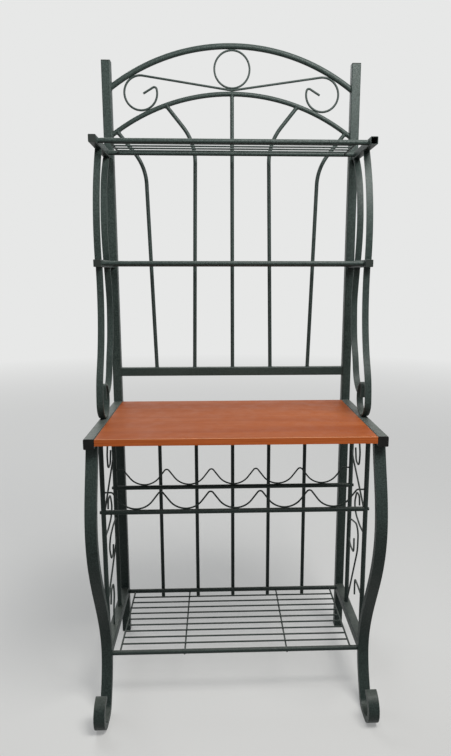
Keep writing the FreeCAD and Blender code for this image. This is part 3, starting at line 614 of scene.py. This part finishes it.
def strip_welds():
    """Side strips: their ends at the shelves' rails, and the front rings on the worktop's rails."""
    welds = Welds("strip_welds")
    for _, word in SIDES:
        for level, sign in (("upper", 1), ("upper", -1), ("lower", 1)):
            for place in ("front", "rear"):
                strip_end(welds, f"{level}_{place}_strip_{word}", sign)
        node_name = f"lower_front_strip_{word}"
        low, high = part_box(node_name)
        ring = [point for point in only_part(node_name) if point.z < low.z + RING_DEPTH]
        for shift in (-STRIP_RING_GAP, STRIP_RING_GAP):
            welds.line_across((low.x + TUBE_BEAD, high.x - TUBE_BEAD), middle_of(ring, Y) + shift,
                              low.z + STRIP_RING_RISE, STRIP_RING_BEAD)
    welds.finish()


def side_frame_welds(welds, side, word, leg_x, leg_y, rail_z):
    """One side of the base: the worktop rail on both legs, the uprights' and lower rail's ends."""
    ends_x = (side * (leg_x[0] + TUBE_BEAD), side * (leg_x[1] - TUBE_BEAD))
    for z in rail_z:
        welds.line_across(ends_x, leg_y, z)
    leg_top = [point for point in only_part(f"front_leg_{word}") if point.z > rail_z[0] - ON_FACE]
    for y in extent(leg_top, Y):
        welds.line_across(ends_x, y, rail_z[0])
    for upright in loose_parts(f"side_uprights_{word}"):
        middle = centre_of(upright)
        for sign in (-1, 1):
            foot = Vector((middle.x, middle.y, end_middle(upright, Z, sign).z))
            axis = Z_AXIS * sign
            welds.ring_on_face(foot - axis * BAR_RADIUS, axis, BAR_RADIUS, foot, Z_AXIS)
    rail_name = f"lower_shelf_rail_{word}"
    rail = only_part(rail_name)
    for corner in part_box(rail_name):
        edge = [point for point in rail if abs(point.z - corner.z) < ON_FACE]
        for y in extent(edge, Y):
            welds.line_across(ends_x, y, corner.z)


def base_welds():
    """Lower frame: both sides, the bottom shelf, the back bars and the worktop's tabs."""
    welds = Welds("base_welds")
    leg_low, leg_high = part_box("rear_leg_right")
    rail_low, rail_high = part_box("worktop_rail_right")
    for side, word in SIDES:
        side_frame_welds(welds, side, word, (leg_low.x, leg_high.x), leg_low.y,
                         (rail_low.z, rail_high.z))
    grid_welds(welds, "lower_shelf", leg_low.x)
    rail_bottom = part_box("lower_back_rail")[0].z
    rear_bar = centre_of(only_part("lower_shelf_rear_bar"))
    for bar in loose_parts("lower_back_bars"):
        head = centre_of(bar)
        head.z = rail_bottom
        welds.ring_on_face(head - Z_AXIS * BAR_RADIUS, Z_AXIS, SPINDLE_RADIUS, head, Z_AXIS)
        for shift in BACK_BAR_SHIFTS:
            spot = Vector((head.x + shift, rear_bar.y + BAR_RADIUS, rear_bar.z))
            welds.tack(spot, BACK_BAR_TACK)
    tabs_low, tabs_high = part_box("worktop_tabs")
    for tab in loose_parts("worktop_tabs"):
        wall_x = tabs_low.x if centre_of(tab).x < 0 else tabs_high.x
        welds.line([Vector((wall_x, y, tabs_low.z)) for y in extent(tab, Y)])
    welds.finish()


def side_scroll_welds():
    """Tacks where the scrolls meet the uprights and rails, and the wine waves meet their bars."""
    welds = Welds("side_scroll_welds")
    for _, word in SIDES:
        uprights = loose_parts(f"side_uprights_{word}")
        middles = [centre_of(upright) for upright in uprights]
        for scroll in loose_parts(f"side_scrolls_{word}"):
            touching = [[point for point in scroll
                         if math.hypot(point.x - middle.x, point.y - middle.y) < UPRIGHT_REACH]
                        for middle in middles]
            touching += [[point for point in scroll if abs(point.z - end_z) < RAIL_REACH]
                         for end_z in extent(uprights[0], Z)]
            for points in touching:
                if points:
                    welds.tack(centre_of(points), SCROLL_RADIUS * BLOB_SHARE)
    for place in ("front", "rear"):
        bar = centre_of(only_part(f"wine_bar_{place}"))
        wave = only_part(f"wine_wave_{place}")
        for sign in (-1, 1):
            welds.tack(end_middle(wave, X, sign, WAVE_END_DEPTH), WIRE_RADIUS * BLOB_SHARE)
        for index in WAVE_HOLLOWS:
            for shift in CROSSING_SHIFTS:
                spot = Vector((index * WAVE_PITCH + shift, bar.y, bar.z + BAR_RADIUS))
                welds.tack(spot, WAVE_TACK)
    welds.finish()


# Each bead and tack draws from chance, so the order stays.
back_panel_welds()
shelf_welds()
strip_welds()
base_welds()
side_scroll_welds()

# ---------------------------------------------------------------- floor, light, background
PALE = (0.80, 0.805, 0.80)                      # the background as it is seen
FLOOR_SEEN = (0.78, 0.78, 0.765)
FLOOR_BOUNCE = (0.13, 0.13, 0.12)               # the floor as the rack is lit by it
FLOOR_RADIUS = 14.0
FLOOR_VERTICES = 96
FADE_NEAR, FADE_FAR = 0.6, 7.0                  # distances over which the floor turns pale
FADE_LEAST = 0.3
SKY_COLOUR = (0.95, 0.97, 1.0)
SKY_STRENGTH = 0.2


def studio_floor():
    """Floor that keeps the rack's shadow and fades into the background."""
    bpy.ops.mesh.primitive_circle_add(vertices=FLOOR_VERTICES, radius=FLOOR_RADIUS,
                                      fill_type="NGON", location=(0, 0, 0))
    floor = bpy.context.object
    floor.name = "studio_floor"
    look = Look("studio_floor")
    seen = look.seen_share()
    look.set("Base Color", look.mix(seen, FLOOR_BOUNCE, FLOOR_SEEN))
    look.set("Roughness", 0.8)
    look.set("Specular IOR Level", 0.2)
    distance = look.add("VectorMath", operation="LENGTH")
    look.join(look.add("TexCoord").outputs["Object"], distance.inputs[0])
    fade = look.spread(distance.outputs["Value"], FADE_NEAR, FADE_FAR, FADE_LEAST, 1.0)
    glow = look.add("Emission")
    look.feed(glow.inputs["Color"], PALE)
    look.mix_shaders(look.times(fade, seen), look.shader.outputs[0], glow.outputs[0],
                     "Material Output")
    floor.data.materials.append(look.material)


def studio_world():
    """Dim sky for the light, and the pale background for what is seen."""
    world = bpy.data.worlds.new("studio")
    bpy.context.scene.world = world
    tree = Tree(world)
    sky = tree.nodes["Background"]
    tree.feed(sky.inputs["Color"], SKY_COLOUR)
    tree.feed(sky.inputs["Strength"], SKY_STRENGTH)
    seen = tree.add("Background")
    tree.feed(seen.inputs["Color"], PALE)
    tree.feed(seen.inputs["Strength"], 1.0)
    tree.mix_shaders(tree.seen_share(), sky.outputs[0], seen.outputs[0], "World Output")


def soft_lamp(name, place, target, size, watts, colour):
    """Rectangular lamp that faces its target and isn't seen itself."""
    data = bpy.data.lights.new(name, "AREA")
    data.shape = "RECTANGLE"
    data.size, data.size_y = size
    data.energy = watts
    data.color = colour
    lamp = bpy.data.objects.new(name, data)
    bpy.context.scene.collection.objects.link(lamp)
    lamp.location = place
    lamp.rotation_euler = (Vector(target) - Vector(place)).to_track_quat("-Z", "Y").to_euler()
    lamp.visible_camera = False


studio_floor()
studio_world()
soft_lamp("key_lamp", place=(0.8, -0.95, 2.6), target=(0, 0.15, 1.5), size=(1.1, 0.9),
          watts=36, colour=(1.0, 0.985, 0.96))
soft_lamp("crown_lamp", place=(0.2, -0.9, 2.05), target=(0, 0.2, 1.72), size=(0.7, 0.5),
          watts=11.5, colour=(1.0, 0.99, 0.97))
soft_lamp("back_lamp", place=(-1.4, 2.3, 3.1), target=(0, 0, 1.1), size=(2.0, 1.6),
          watts=30, colour=(0.95, 0.98, 1.0))
